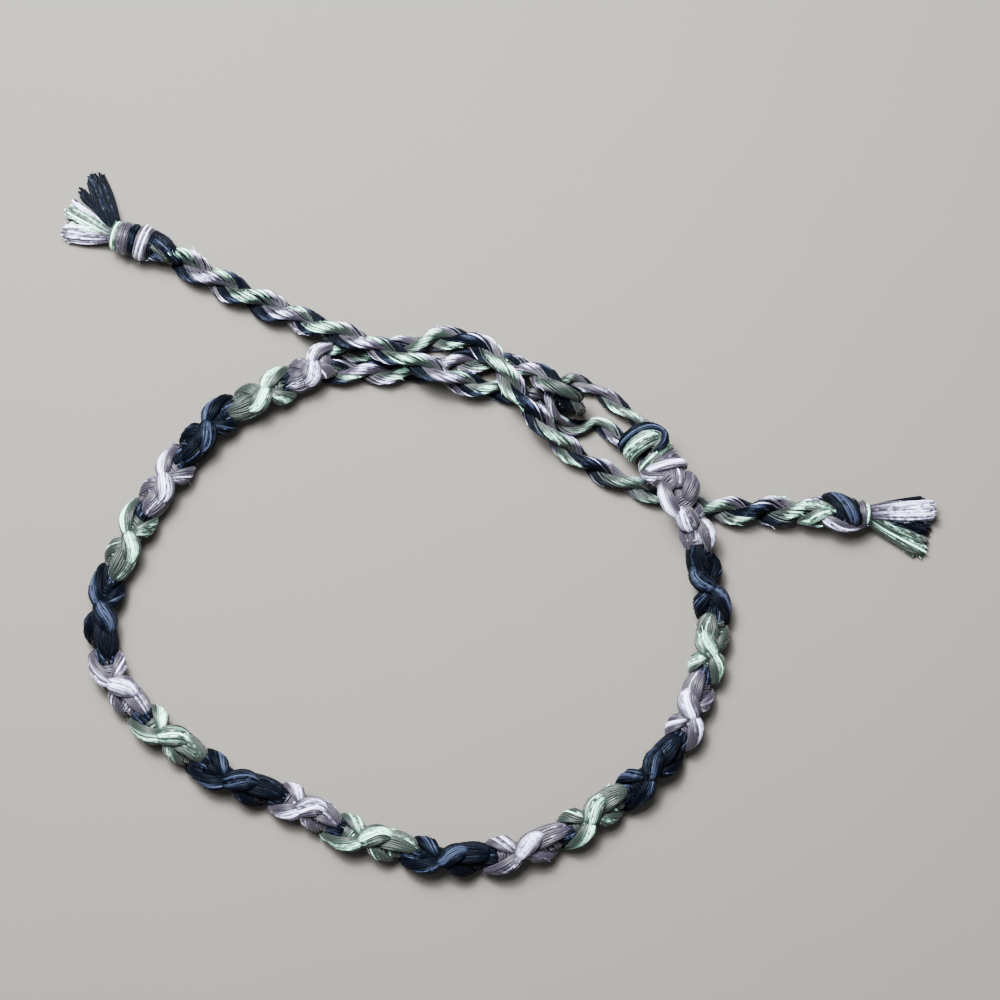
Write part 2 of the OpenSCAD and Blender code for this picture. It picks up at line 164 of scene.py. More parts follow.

# Bundles of threads in one colour of the band: how pale the bundle is, as painted light on the raised
# bundles and painted shade on those that face away or lie low, and its rows. A row is: share of the
# colour's length, angle round the band (0 faces the wrist, 90 up, 180 away), how far out its middle is,
# half width, half height.
BUNDLES = (
    (0.24, (
        (-0.07, 228, 0.80, 0.45, 0.36), (0.00, 196, 1.12, 0.84, 0.58), (0.12, 166, 1.28, 1.02, 0.68),
        (0.26, 142, 1.28, 0.98, 0.66), (0.37, 120, 1.02, 0.62, 0.46), (0.46, 102, 0.62, 0.32, 0.28),
    )),
    (0.10, (
        (-0.13, 262, 0.95, 0.20, 0.20), (-0.11, 225, 1.36, 0.30, 0.26), (-0.05, 196, 1.56, 0.34, 0.28),
        (0.06, 182, 1.50, 0.28, 0.24), (0.18, 176, 1.25, 0.20, 0.20),
    )),
    (0.26, (
        (0.34, 118, 0.70, 0.42, 0.34), (0.39, 100, 1.10, 0.82, 0.58), (0.48, 74, 1.32, 1.04, 0.68),
        (0.58, 56, 1.42, 1.06, 0.68), (0.68, 47, 1.30, 0.84, 0.54), (0.75, 44, 0.95, 0.42, 0.34),
    )),
    (-0.24, (
        (0.50, 78, 0.60, 0.50, 0.34), (0.66, 62, 0.98, 1.02, 0.54), (0.82, 56, 1.06, 1.10, 0.54),
        (0.96, 58, 0.92, 0.86, 0.44), (1.06, 62, 0.60, 0.40, 0.30),
    )),
    (0.04, (
        (0.04, -60, 0.98, 0.70, 0.36), (0.09, -20, 1.22, 0.95, 0.48), (0.17, 18, 1.36, 0.98, 0.50),
        (0.27, 52, 1.22, 0.72, 0.46), (0.38, 88, 0.82, 0.36, 0.32),
    )),
    (-0.20, (
        (0.47, 112, 0.72, 0.40, 0.36), (0.56, 145, 1.10, 0.70, 0.50), (0.67, 185, 1.20, 0.92, 0.56),
        (0.77, 235, 1.14, 0.92, 0.52), (0.84, 285, 0.86, 0.80, 0.42),
    )),
    (-0.22, (
        (0.46, 26, 0.80, 0.40, 0.32), (0.62, 8, 1.12, 0.66, 0.46), (0.82, 2, 1.16, 0.70, 0.48),
        (1.03, 14, 0.86, 0.42, 0.34),
    )),
    (-0.15, (
        (0.03, 300, 0.90, 0.50, 0.36), (0.25, 284, 1.24, 0.82, 0.48), (0.55, 264, 1.30, 0.88, 0.50),
        (0.85, 250, 1.18, 0.70, 0.46), (1.00, 246, 0.85, 0.45, 0.34),
    )),
)

# The last lilac run, which is wide and ends in a wrap against the start knot; its bundles' paleness
# paints light and shade as above.
LAST_BUNDLES = (
    (0.30, (
        (0.84, 42, 0.95, 0.44, 0.34), (0.77, 40, 1.36, 0.86, 0.52), (0.66, 40, 1.50, 1.08, 0.62),
        (0.54, 44, 1.42, 0.90, 0.56), (0.45, 51, 1.10, 0.54, 0.38), (0.39, 58, 0.75, 0.30, 0.26),
    )),
    (0.28, (
        (0.55, 68, 0.80, 0.46, 0.34), (0.49, 71, 1.24, 0.92, 0.62), (0.39, 75, 1.40, 1.14, 0.72),
        (0.29, 78, 1.24, 1.00, 0.60), (0.21, 84, 0.75, 0.50, 0.36),
    )),
    (-0.20, (
        (0.32, 84, 0.60, 0.55, 0.34), (0.20, 84, 0.98, 0.96, 0.48), (0.09, 84, 0.94, 0.86, 0.44),
        (-0.02, 84, 0.60, 0.45, 0.32),
    )),
    (0.06, (
        (0.31, 132, 0.80, 0.44, 0.34), (0.23, 135, 1.28, 0.92, 0.56), (0.11, 138, 1.46, 1.10, 0.66),
        (0.01, 144, 1.28, 0.88, 0.52), (-0.08, 152, 0.85, 0.44, 0.34),
    )),
    (-0.26, (
        (0.58, 86, 0.90, 0.55, 0.34), (0.63, 112, 1.26, 0.84, 0.48), (0.69, 142, 1.42, 0.96, 0.52),
        (0.76, 176, 1.34, 0.84, 0.48), (0.81, 216, 0.90, 0.46, 0.34),
    )),
    (0.24, (
        (1.14, 14, 1.05, 0.30, 0.28), (1.08, 46, 1.48, 0.46, 0.42), (1.00, 82, 1.58, 0.56, 0.46),
        (0.95, 118, 1.62, 0.62, 0.46), (0.92, 148, 1.72, 0.56, 0.42), (0.90, 178, 1.45, 0.32, 0.30),
    )),
    (-0.25, (
        (0.72, 100, 0.80, 0.45, 0.34), (0.80, 112, 1.10, 0.80, 0.44), (0.89, 120, 1.10, 0.75, 0.42),
        (0.98, 124, 0.80, 0.40, 0.30),
    )),
    (-0.02, (
        (0.30, -4, 0.80, 0.36, 0.30), (0.19, 12, 1.28, 0.58, 0.44), (0.05, 18, 1.25, 0.56, 0.42),
        (-0.06, 22, 0.80, 0.34, 0.30),
    )),
    (-0.20, (
        (0.05, 300, 0.90, 0.50, 0.36), (0.30, 280, 1.24, 0.90, 0.48), (0.65, 265, 1.30, 0.95, 0.50),
        (0.95, 255, 1.00, 0.60, 0.40),
    )),
)

# Bundles that go right round: share of the length, tilt and the angle at which it is greatest,
# how far out, half width, half height, how pale, which also paints shade on wraps that lie low, and,
# on a knot, the dye.
BAND_WRAPS = (
    (0.24, 0.04, 40, 0.78, 0.95, 0.36, -0.25), (0.74, 0.05, 200, 0.78, 1.05, 0.36, -0.25),
)
LAST_WRAPS = (
    (0.10, 0.03, 40, 0.95, 0.95, 0.42, -0.30), (0.34, 0.04, 200, 1.00, 0.95, 0.42, -0.30),
    (0.60, 0.04, 200, 1.05, 0.95, 0.42, -0.30), (0.84, 0.05, 200, 1.05, 1.00, 0.46, -0.32),
)
START_KNOT_WRAPS = (
    (0.04, 0.08, 200, 1.20, 0.80, 0.50, -0.38, "lilac"),
    (0.38, 0.08, 210, 1.34, 0.66, 0.50, 0.04, "green"),
    (0.80, 0.08, 20, 1.36, 1.02, 0.62, 0.16, "green"),
    (1.08, 0.06, 30, 1.05, 0.50, 0.44, 0.0, "navy"),
)
LEFT_KNOT_WRAPS = (
    (0.02, 0.05, 60, 1.10, 0.50, 0.42, -0.2, "navy"), (0.26, 0.03, 0, 1.36, 0.70, 0.54, 0.10, "lilac"),
    (0.49, 0.04, 90, 1.30, 0.42, 0.42, -0.3, "navy"), (0.71, 0.05, 90, 1.26, 0.62, 0.50, -0.05, "lilac"),
    (0.93, 0.04, 90, 1.06, 0.46, 0.44, 0.05, "green"),
)
RIGHT_KNOT_WRAPS = (
    (0.16, 0.05, 60, 0.80, 0.60, 0.44, -0.1, "navy"), (0.50, 0.12, 20, 1.10, 0.95, 0.55, 0.0, "navy"),
    (0.88, 0.04, 90, 1.00, 0.34, 0.30, 0.0, "lilac"), (1.00, 0.02, 90, 0.80, 0.40, 0.34, 0.0, "green"),
)

# Bundles that cross a knot: dye, how pale, which also paints light and shade, and rows as in the band.
START_KNOT_BUNDLES = (
    ("navy", 0.0, (
        (1.02, -10, 1.40, 0.28, 0.26), (1.14, 18, 1.64, 0.44, 0.36), (1.20, 54, 1.52, 0.50, 0.40),
        (1.16, 104, 1.56, 0.52, 0.42), (1.00, 136, 1.78, 0.54, 0.42), (0.72, 150, 1.92, 0.52, 0.40),
        (0.50, 136, 1.84, 0.44, 0.36), (0.40, 110, 1.68, 0.32, 0.28), (0.44, 86, 1.40, 0.22, 0.20),
    )),
    ("green", -0.08, (
        (1.02, 64, 1.40, 0.26, 0.24), (1.04, 98, 1.54, 0.32, 0.28), (0.90, 126, 1.70, 0.36, 0.30),
        (0.70, 134, 1.78, 0.36, 0.30), (0.56, 118, 1.68, 0.28, 0.26), (0.54, 98, 1.45, 0.20, 0.18),
    )),
    ("lilac", -0.25, (
        (-0.30, 70, 0.90, 0.50, 0.36), (-0.12, 40, 1.25, 0.70, 0.46), (0.14, 12, 1.40, 0.75, 0.48),
        (0.42, -6, 1.20, 0.55, 0.40), (0.62, -20, 0.85, 0.34, 0.30),
    )),
)
LEFT_KNOT_BUNDLES = (
    ("navy", -0.2, (
        (-0.75, 70, 0.80, 0.40, 0.30), (-0.50, 84, 1.12, 0.78, 0.48), (-0.20, 100, 1.25, 0.86, 0.52),
        (0.08, 118, 1.20, 0.60, 0.42),
    )),
    ("green", -0.15, (
        (-0.60, 40, 0.90, 0.36, 0.28), (-0.30, 62, 1.32, 0.40, 0.30), (0.02, 80, 1.30, 0.34, 0.30),
    )),
)
RIGHT_KNOT_BUNDLES = (
    ("green", 0.15, (
        (-0.42, 50, 0.80, 0.40, 0.36), (-0.22, 62, 1.10, 0.58, 0.50), (0.02, 64, 1.40, 0.60, 0.54),
        (0.22, 74, 1.30, 0.50, 0.46), (0.36, 90, 0.95, 0.36, 0.34),
    )),
    ("green", 0.15, (
        (-0.40, 150, 0.95, 0.40, 0.36), (-0.20, 128, 1.25, 0.62, 0.52), (0.02, 104, 1.45, 0.66, 0.56),
        (0.20, 92, 1.30, 0.50, 0.44), (0.32, 88, 0.90, 0.34, 0.32),
    )),
    ("navy", 0.10, (
        (0.12, -60, 1.10, 0.55, 0.40), (0.22, -12, 1.45, 0.90, 0.56), (0.40, 34, 1.52, 1.04, 0.60),
        (0.60, 80, 1.48, 1.02, 0.60), (0.72, 118, 1.42, 0.84, 0.52), (0.74, 160, 1.05, 0.55, 0.40),
    )),
    ("lilac", 0.20, (
        (0.12, 116, 0.95, 0.40, 0.34), (0.26, 128, 1.40, 0.66, 0.52), (0.50, 148, 1.58, 0.70, 0.54),
        (0.78, 160, 1.40, 0.56, 0.46), (1.00, 168, 0.95, 0.36, 0.34),
    )),
    ("lilac", 0.05, (
        (0.94, -40, 0.80, 0.20, 0.18), (0.92, 20, 1.22, 0.22, 0.20), (0.93, 90, 1.30, 0.22, 0.20),
        (0.95, 150, 1.15, 0.20, 0.18), (0.96, 210, 0.85, 0.18, 0.16),
    )),
)

# Locks of a tassel: tip, half width and half height at the tip, dye, how pale, threads.
LEFT_LOCKS = (
    ((-31.5, 43.0, 0.7), 0.98, 0.55, "navy", -0.3, 48),
    ((-33.0, 41.5, 0.5), 0.42, 0.38, "navy", -0.35, 15),
    ((-33.6, 40.3, 0.5), 0.35, 0.30, "lilac", 0.1, 10),
    ((-34.2, 39.5, 0.75), 0.74, 0.48, "green", 0.2, 32),
    ((-33.9, 38.6, 0.4), 0.45, 0.35, "navy", -0.2, 13),
    ((-33.7, 38.2, 0.7), 0.48, 0.34, "green", 0.0, 14),
    ((-34.6, 37.2, 0.6), 0.95, 0.55, "lilac", 0.1, 48),
)
RIGHT_LOCKS = (
    ((52.0, 10.2, 0.9), 0.34, 0.32, "navy", -0.35, 14),
    ((50.2, 9.5, 0.8), 0.48, 0.38, "green", 0.0, 16),
    ((53.0, 9.0, 1.35), 1.0, 0.85, "lilac", 0.25, 76),
    ((52.5, 7.0, 0.55), 0.60, 0.48, "navy", -0.35, 28),
    ((52.0, 5.0, 0.55), 1.15, 0.50, "green", 0.0, 50),
)

# Dyes round each strand of a tail or ply of the loop: up to this angle, this dye. The angle is
# measured from the side that shows where the strand lies on top.
LEFT_DYES = (
    ((45, "lilac"), (115, "green"), (270, "navy"), (360, "lilac")),
    ((95, "green"), (165, "lilac"), (190, "navy"), (225, "lilac"), (295, "navy"), (360, "green")),
)
RIGHT_DYES = (
    ((50, "navy"), (190, "green"), (270, "lilac"), (360, "navy")),
    ((85, "green"), (215, "navy"), (262, "lilac"), (360, "green")),
)
LOOP_DYES = (
    ((90, "green"), (130, "lilac"), (220, "navy"), (360, "green")),
    ((130, "lilac"), (230, "navy"), (270, "green"), (360, "lilac")),
)

# How threads are drawn. From here on lengths are in mm and angles in degrees where nothing else is
# said, and a pair in brackets gives the limits of a random draw.
SMOOTH_STEPS = 8  # places on a centre line for each point of its route
RING_POINTS = 6  # points round a thread
ALONG_UNIT = 100  # mm for which the third value of the tone attribute is 1
MERGE_DISTANCE = 1e-7  # metres
WANDER_WAVES = 3
WANDER_RATES, WANDER_STARTS = (0.3, 1.6), (0, 6.28)  # radians
WANDER_SHARES = (0.3, 1)
TONES, PALE_WEIGHT = (0.05, 0.9), 1.5

# Bundles: points along them, how each differs from its rows, its threads' twist and place, the part
# of the oval that they cover and how closely (in thread radii), the painted shade at a bundle's ends
# and on the sides of its oval, and the filling in the middle, which is painted in shade.
BUNDLE_STEPS, WRAP_STEPS, KNOT_WRAP_STEPS, KNOT_BUNDLE_STEPS = 12, 14, 24, 18
ROUND_ANGLES = range(-90, 271, 40)
BUNDLE_SHIFT, BUNDLE_SWELL, BUNDLE_TURN = (-0.015, 0.015), (0.94, 1.07), (-5, 5)
BUNDLE_PALE, BUNDLE_TWIST = (-0.06, 0.06), (15, 50)
BUNDLE_PLACE, BUNDLE_THICK, BUNDLE_SPAN = (0.36, 0.64), (0.88, 1.08), 7
COVER_START, COVER_ANGLE, COVER_SHARE = -30, 240, 0.66
THREAD_SPACING, LEAST_THREADS, LEAST_OVAL = 1.75, 4, 0.02
PAINTED_END_LIGHT, PAINTED_END_RISE, PAINTED_SIDE_LIGHT = 0.1, 4, 0.15
FILLING_INSET, LEAST_FILLING, FILLING_TONE, PAINTED_FILLING_LIGHT = 0.3, 0.03, 0.5, 0.4

# Stray fibres: points, radius, how far they reach along and off the thread, and how pale they are.
FIBRE_POINTS, FIBRE_R, FIBRE_REACH, FIBRE_RISE = 4, 0.021, (0.3, 1.2), (0.05, 0.4)
FIBRE_UPWARDS, FIBRE_SLOPE, FIBRE_LEAST_Z, FIBRE_PALER = 0.3, 0.06, 0.03, 0.2

# Threads of a laid strand: radius as a share of a band thread's, step along the cord, how each
# differs from its place, how blurred the dyes' borders are, and the painted shade that darkens a
# thread the nearer it lies to the cord's middle. The core fills the strand and is painted in shade.
LAID_THREAD, LAID_STEP, LAID_LEAST_Z, LAID_PALE = 0.7, 0.55, 0.05, 0.15
LAID_PLACE, LAID_DEPTH, LAID_THICK = (0.3, 0.7), (0.95, 1.05), (0.92, 1.1)
LAID_SWAY, SWAY_RATE, DYE_BLUR = 7, 0.7, 12
PAINTED_LIGHT_GAIN, PAINTED_LIGHT_FROM = 2.6, 1.5
CORE_INSET, CORE_TONE, PAINTED_CORE_LIGHT = 1.2, 0.3, 0.3
STRAND_FULLNESS, PLY_FULLNESS = 1.18, 1.12
TAIL_IN_BAND, TAIL_IN_KNOT, LOOP_IN_KNOT, TASSEL_IN_KNOT = 1.2, 0.6, 0.3, 0.4
TAIL_FUZZ, KNOT_FUZZ = 4, 2

# The band's core, the navy threads at each change of colour, and the core of a knot. Both cores show in
# painted shade between the bundles.
BAND_CORE_STEP, BAND_CORE_R = 0.8, 0.84
JOINT_REACH, JOINT_POINTS, JOINT_R, JOINT_DIP = 0.9, 7, 0.98, 0.14
JOINT_ANGLES, JOINT_LEAN, JOINT_PALE = range(20, 170, 12), (-14, 14), -0.2
KNOT_CORE = (0.55, 0.8, 0.95, 1.0, 1.05, 1.0, 0.95, 0.8, 0.55)

# Locks of a tassel: how thick one is at its root, how its threads fan out, end, bow, sag and lie in
# layers, the painted shade along the lock, deepest at the knot, and the painted light on its top
# threads. Turns are in radians.
HALF_TURN, QUARTER_TURN = 3.14, 1.57
LOCK_POINTS, LOCK_TURN, LOCK_SPAN, LOCK_THREAD = 13, 2.4, 4, 0.98
LOCK_ROOT, LOCK_ROOT_MORE, LOCK_FULL = 0.26, 0.3, 60
LOCK_REACH, LOCK_ROUNDING, LOCK_BOW, LOCK_STRAY = (0.9, 1.04), 0.06, (-0.25, 0.25), 0.07
LOCK_SAG, LOCK_LAYER, LOCK_LAYERS = 0.3, 0.02, 5
PAINTED_LOCK_LIGHT, PAINTED_LOCK_RISE, PAINTED_LOCK_SIDE, PAINTED_LOCK_TOP = 0.3, 0.12, 0.84, 0.16

# The floss as a material: patterns, whose streaks along a thread also paint short highlights into
# its colour, then how they add up with the painted shade of a recess to the light a thread gives back,
# how much of that shows as pale, and the shine.
STREAKS_ALONG, STREAKS_APART, MOTTLE_SCALE, FIBRE_SCALE = 160.0, 90.0, 900.0, 9000.0
OWN_SHARE, STREAK_SHARE, MOTTLE_SHARE = 1.15, 1.1, 0.1
LIGHT_FROM, LIGHT_GAIN, PAINTED_RECESS_LIGHT = 0.70, 1.4, 0.07
SHOWN_FROM, SHOWN_GAIN = 0.26, 1.45
ROUGH_IN_SHADE, ROUGH_FALL = 0.55, 0.35
FIBRE_BUMP, BUMP_STRENGTH, BUMP_DISTANCE = 0.2, 0.3, 0.00005
SHINE = {
    "Specular IOR Level": 0.35, "Specular Tint": (0.92, 0.97, 1.0, 1),
    "Sheen Weight": 0.12, "Sheen Roughness": 0.4,
}
SHINE_NAVY = {
    "Specular IOR Level": 0.04, "Specular Tint": (0.60, 0.78, 1.0, 1),
    "Sheen Weight": 0.02, "Sheen Roughness": 0.4,
}
MIX_FACTOR, MIX_A, MIX_B, MIX_RESULT = 0, 6, 7, 2  # sockets of a Mix node for colours

# The stage, in metres, but the target and the camera's sensor in mm.
VIEW_TARGET, SENSOR_WIDTH, NEAREST_SEEN = (9.5, 10.0, 1.5), 36, 0.005
KEY_PLACE, KEY_SIZE, SPARK_SIZE = (-0.06, 0.11, 0.24), 0.16, 0.05
FILL_PLACE, FILL_SIZE = (0.16, -0.12, 0.22), 0.25
ROOM_COLOUR, ROOM_STRENGTH = (0.92, 0.96, 1.0, 1), 0.32
FLOOR_SIZE, FLOOR_GRAIN, FLOOR_PALER, FLOOR_ROUGHNESS = 2.4, 60.0, 1.04, 0.8


def blend(a, b, t):
    return a + (b - a) * t


def table_at(table, x):
    """Value at x in rows of (x, value), level beyond both ends."""
    if x <= table[0][0]:
        return table[0][1]
    for (x0, v0), (x1, v1) in zip(table, table[1:]):
        if x <= x1:
            return blend(v0, v1, (x - x0) / (x1 - x0))
    return table[-1][1]


def smooth(p0, p1, p2, p3, u):
    """A point between p1 and p2 on a curve through four points, or the same for numbers."""
    return 0.5 * (
        2 * p1 + (p2 - p0) * u
        + (2 * p0 - 5 * p1 + 4 * p2 - p3) * u**2
        + (3 * p1 - p0 - 3 * p2 + p3) * u**3
    )


def through(rows, t):
    """Each column of a bundle's rows at a share t of its length, smoothed."""
    x = t * (len(rows) - 1)
    i = min(int(x), len(rows) - 2)
    four = [rows[max(0, min(len(rows) - 1, i + k))] for k in (-1, 0, 1, 2)]
    return [smooth(*column, x - i) for column in zip(*four)]


def even(start, end, step):
    """Places from start to end that are about one step apart, both ends with them."""
    n = max(2, round((end - start) / step))
    return [blend(start, end, i / n) for i in range(n + 1)]


def round_rows(share, tilt, lean, radius, half, height):
    """The rows of a bundle that goes right round a band or a knot."""
    return [
        (share + tilt * math.cos(math.radians(angle - lean)), angle, radius, half, height)
        for angle in ROUND_ANGLES
    ]


class Line:
    """A smooth centre line through a route, measured in mm, with a frame at each place."""

    def __init__(self, route, level=False):
        points = [Vector(p) for p in route]
        points = [2 * points[0] - points[1], *points, 2 * points[-1] - points[-2]]
        fours = zip(points, points[1:], points[2:], points[3:])
        self.curve = [smooth(*four, k / SMOOTH_STEPS) for four in fours for k in range(SMOOTH_STEPS)]
        self.curve.append(points[-2])
        self.run = [0.0]
        for a, b in zip(self.curve, self.curve[1:]):
            self.run.append(self.run[-1] + (b - a).length)
        self.total = self.run[-1]
        last = len(self.curve) - 1
        self.heads = [
            (self.curve[min(i + 1, last)] - self.curve[max(i - 1, 0)]).normalized() for i in range(last + 1)
        ]
        side = UP.cross(self.heads[0]).normalized()
        self.sides = []
        for head in self.heads:
            side = UP.cross(head) if level else side - head * side.dot(head)
            side = side.normalized()
            self.sides.append(side)

    def at(self, s):
        """Centre, side and up at s mm along the line."""
        i = max(0, min(len(self.run) - 2, bisect_right(self.run, s) - 1))
        t = (s - self.run[i]) / (self.run[i + 1] - self.run[i])
        centre = self.curve[i].lerp(self.curve[i + 1], t)
        held = max(0.0, min(1.0, t))
        head = self.heads[i].lerp(self.heads[i + 1], held).normalized()
        side = self.sides[i].lerp(self.sides[i + 1], held)
        side = (side - head * side.dot(head)).normalized()
        return centre, side, head.cross(side)


class Body:
    """Places round a line: a share of the way along a stretch, an angle, and how far out."""

    def __init__(self, line, start, length, widen):
        self.line = line
        self.start = start
        self.length = length
        self.widen = widen

    def at(self, share, angle, radius):
        """The place, and the way that is outwards there."""
        s = self.start + share * self.length
        centre, side, up = self.line.at(s)
        a = math.radians(angle)
        out = table_at(self.widen, s) * math.cos(a) * side + math.sin(a) * up
        return centre + radius * out, out.normalized()


class Cord(NamedTuple):
    """A laid cord: its line, the stretch that is laid, and how its strands wind round each other."""

    line: Line
    start: float
    end: float
    lay: float
    offset: float
    radius: float
    swell: tuple = LEVEL
    shade: tuple = LEVEL


class Wander:
    """A slow random drift along a thread, so that no two threads lie alike."""

    def __init__(self, rng, size):
        self.waves = [
            (rng.uniform(*WANDER_RATES), rng.uniform(*WANDER_STARTS), rng.uniform(*WANDER_SHARES) * size)
            for _ in range(WANDER_WAVES)
        ]

    def at(self, s):
        return sum(size * math.sin(rate * s + start) for rate, start, size in self.waves)


class Skein:
    """Round threads gathered for one piece: points in mm, radius in mm, dye, tone."""

    def __init__(self, name):
        self.name = name
        self.threads = []
        self.rng = random.Random(name)

    def add(self, points, radius, dye, tone, painted_light=None):
        """A thread; painted_light gives at each point the light painted into its colour, from 0, full painted
        shade in a recess, to 1.
        """
        self.threads.append((points, radius, dye, tone, painted_light or [1.0] * len(points)))

    def own_tone(self, pale):
        """A thread's own tone from 0 to 1 in a bundle that is this much paler than most."""
        return self.rng.uniform(*TONES) * (1 - PALE_WEIGHT * abs(pale)) + PALE_WEIGHT * max(0, pale)

    def bundle(self, body, dye, pale, rows, sizes, steps=BUNDLE_STEPS):
        """A plump bundle: threads round an oval that widens, narrows and turns along the rows."""
        thread, stray = sizes.thread_radius / MM, sizes.drift / MM
        rng = self.rng
        shift, swell, turn = rng.uniform(*BUNDLE_SHIFT), rng.uniform(*BUNDLE_SWELL), rng.uniform(*BUNDLE_TURN)
        middles, outs, ovals = [], [], []
        for k in range(steps + 1):
            share, angle, radius, half, height = through(rows, k / steps)
            middle, out = body.at(share + shift, angle + turn, radius)
            middles.append(middle)
            outs.append(out)
            ovals.append((max(LEAST_OVAL, half * swell - thread), max(LEAST_OVAL, height * swell - thread)))
        frames = []
        for k, out in enumerate(outs):
            way = (middles[min(k + 1, steps)] - middles[max(k - 1, 0)]).normalized()
            across = out.cross(way).normalized()
            frames.append((across, way.cross(across)))
        wide, tall = max(w for w, _ in ovals), max(h for _, h in ovals)
        round_it = math.pi * (3 * (wide + tall) - math.sqrt((3 * wide + tall) * (wide + 3 * tall)))
        count = max(LEAST_THREADS, math.ceil(round_it * COVER_SHARE / (THREAD_SPACING * thread)))
        pale, twist = pale + rng.uniform(*BUNDLE_PALE), rng.uniform(*BUNDLE_TWIST)
        for j in range(count):
            drift, lift = Wander(rng, stray), Wander(rng, stray)
            first = COVER_START + COVER_ANGLE * (j + rng.uniform(*BUNDLE_PLACE)) / count
            points, painted_light = [], []
            for k in range(steps + 1):
                t = k / steps
                a = math.radians(first + twist * (t - 0.5))
                (across, out), (w, h) = frames[k], ovals[k]
                p = middles[k] + (w * math.cos(a) + drift.at(BUNDLE_SPAN * t)) * across
                p = p + (h * math.sin(a) + lift.at(BUNDLE_SPAN * t)) * out
                p.z = max(p.z, thread)
                points.append(p)
                # Painted light on the outer face of the oval, painted shade on its sides and underside and
                # towards both ends of the bundle.
                painted_top_light = blend(PAINTED_SIDE_LIGHT, 1, max(0, math.sin(a)) ** 2)
                painted_light.append(min(1, PAINTED_END_LIGHT + PAINTED_END_RISE * min(t, 1 - t)) * painted_top_light)
            self.add(points, thread * rng.uniform(*BUNDLE_THICK), dye, self.own_tone(pale), painted_light)
        # The filling in the middle, darkened with painted shade, fills the gaps between the bundle's threads.
        inner = [max(LEAST_FILLING, min(w, h) - FILLING_INSET * thread) for w, h in ovals]
        self.add(middles, inner, dye, FILLING_TONE + pale, [PAINTED_FILLING_LIGHT] * len(middles))

    def fuzz(self, count):
        """Short stray fibres that stand off the threads, but not off a core."""
        rng = self.rng
        whole = [thread for thread in self.threads if not isinstance(thread[1], list)]
        for _ in range(count):
            points, _, dye, tone, painted_light = rng.choice(whole)
            i = rng.randrange(len(points) - 1)
            way = (points[i + 1] - points[i]).normalized()
            off = Vector((rng.gauss(0, 1), rng.gauss(0, 1), rng.gauss(FIBRE_UPWARDS, 1))).normalized()
            reach, rise = rng.uniform(*FIBRE_REACH), rng.uniform(*FIBRE_RISE)
            fibre = []
            for k in range(FIBRE_POINTS):
                t = k / (FIBRE_POINTS - 1)
                p = points[i] + way * (reach * t) + off * (rise * t * t + FIBRE_SLOPE * t)
                p.z = max(p.z, FIBRE_LEAST_Z)
                fibre.append(p)
            self.add(fibre, FIBRE_R, dye, min(1.0, tone + FIBRE_PALER), [painted_light[i]] * FIBRE_POINTS)

    def make(self, node, slot):
        """The threads as one mesh that stands for a CAD node."""
        bpy.ops.object.select_all(action="DESELECT")
        curve = bpy.data.curves.new(self.name, "CURVE")
        curve.dimensions = "3D"
        curve.bevel_depth = MM
        curve.bevel_resolution = 1
        curve.use_fill_caps = True
        for dye in DYES:
            curve.materials.append(bpy.data.materials[dye + "_thread"])
        for points, radius, dye, *_ in self.threads:
            spline = curve.splines.new("POLY")
            spline.points.add(len(points) - 1)
            spline.points.foreach_set("co", [c for p in points for c in (p[0] * MM, p[1] * MM, p[2] * MM, 1)])
            taper = radius if isinstance(radius, list) else [radius] * len(points)
            spline.points.foreach_set("radius", taper)
            spline.material_index = DYES.index(dye)
        piece = bpy.data.objects.new(self.name, curve)
        bpy.context.collection.objects.link(piece)
        piece.select_set(True)
        bpy.context.view_layer.objects.active = piece
        bpy.ops.object.convert(target="MESH")
        piece = bpy.context.view_layer.objects.active
        self.tone(piece.data)
        bpy.ops.object.mode_set(mode="EDIT")
        bpy.ops.mesh.select_all(action="SELECT")
        bpy.ops.mesh.remove_doubles(threshold=MERGE_DISTANCE)
        bpy.ops.object.mode_set(mode="OBJECT")
        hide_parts(node)
        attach(piece, "root")

    def tone(self, mesh):
        """Each thread's own tone, its painted light and shade, and how far along it is, as an attribute.

        The converted curve has both caps of each thread first, the last thread's before the others,
        and then the rings of six points.
        """
        caps, rings = [], []
        for points, _, _, tone, painted_light in self.threads:
            run, values = 0.0, []
            for k, p in enumerate(points):
                run += (p - points[k - 1]).length if k else 0.0
                values.append((tone, painted_light[k], run / ALONG_UNIT, 1) * RING_POINTS)
            rings.extend(values)
            caps.append(values[-1] + values[0])
        tones = [value for part in caps[::-1] + rings for value in part]
        if len(mesh.vertices) * 4 != len(tones):
            raise RuntimeError(f"{self.name} has {len(mesh.vertices)} points")
        mesh.attributes.new("tone", "FLOAT_COLOR", "POINT").data.foreach_set("color", tones)


